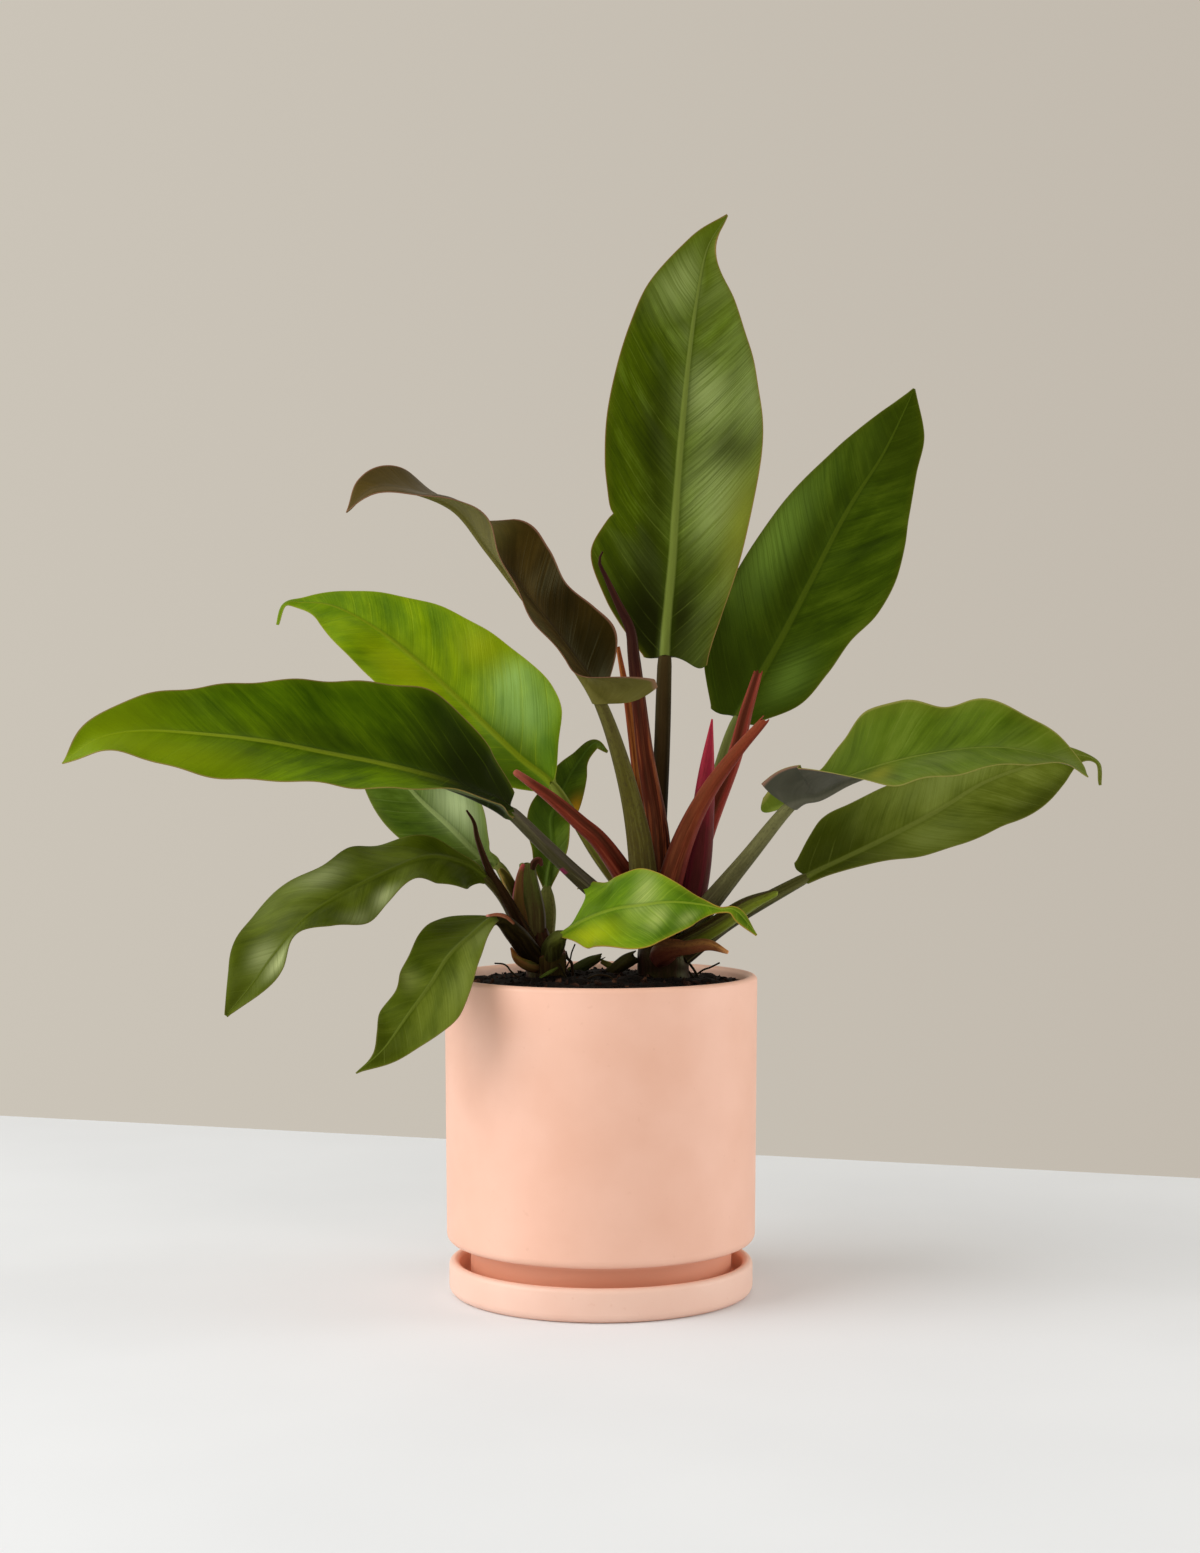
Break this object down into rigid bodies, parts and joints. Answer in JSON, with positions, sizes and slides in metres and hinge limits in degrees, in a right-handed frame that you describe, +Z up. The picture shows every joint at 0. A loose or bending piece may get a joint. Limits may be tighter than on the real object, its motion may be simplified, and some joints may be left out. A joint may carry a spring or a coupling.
{
  "type": "potted philodendron",
  "caption": "Self-heading philodendron with broad wavy green, lime and bronze leaves on thick stalks, in a straight-sided ceramic pot on its saucer.",
  "frame": {"origin": "centre of the saucer's flat underside, on the surface that the part stands on", "axes": "+Z up along the pot's axis, -Y towards the front of the plant, +X to the right seen from the front"},
  "size_m": [0.5861, 0.2828, 0.6454],
  "materials": {
    "pot_ceramic": "matte",
    "saucer_ceramic": "matte",
    "potting_mix": "matte",
    "brown_stem": "matte",
    "green_leaf": "satin",
    "dark_green_leaf": "satin",
    "lime_leaf": "satin",
    "bronze_leaf": "satin",
    "red_sheath": "satin",
    "crimson_bud": "satin",
    "olive_sheath": "satin",
    "tan_bract": "matte"
  },
  "bodies": {
    "root": {"pot": "pot_ceramic", "saucer": "saucer_ceramic", "soil": "potting_mix", "main_stem": "brown_stem", "side_stem": "brown_stem", "leaf_tall": "green_leaf", "leaf_right_upright": "dark_green_leaf", "leaf_bronze": "bronze_leaf", "leaf_wavy_right": "green_leaf", "leaf_right_low": "dark_green_leaf", "leaf_lime": "lime_leaf", "leaf_left_long": "green_leaf", "leaf_left_back": "green_leaf", "leaf_left_curly": "dark_green_leaf", "leaf_left_droop": "dark_green_leaf", "leaf_back_hook": "green_leaf", "leaf_front": "lime_leaf", "young_leaf": "red_sheath", "sheath_behind": "red_sheath", "bud_crimson": "crimson_bud", "sheath_tall": "red_sheath", "sheath_near": "red_sheath", "sheath_left": "red_sheath", "bract_base": "tan_bract", "sheath_right": "olive_sheath", "stub_side": "brown_stem", "spike_dry": "brown_stem", "bract_side": "tan_bract"}
  },
  "joints": []
}
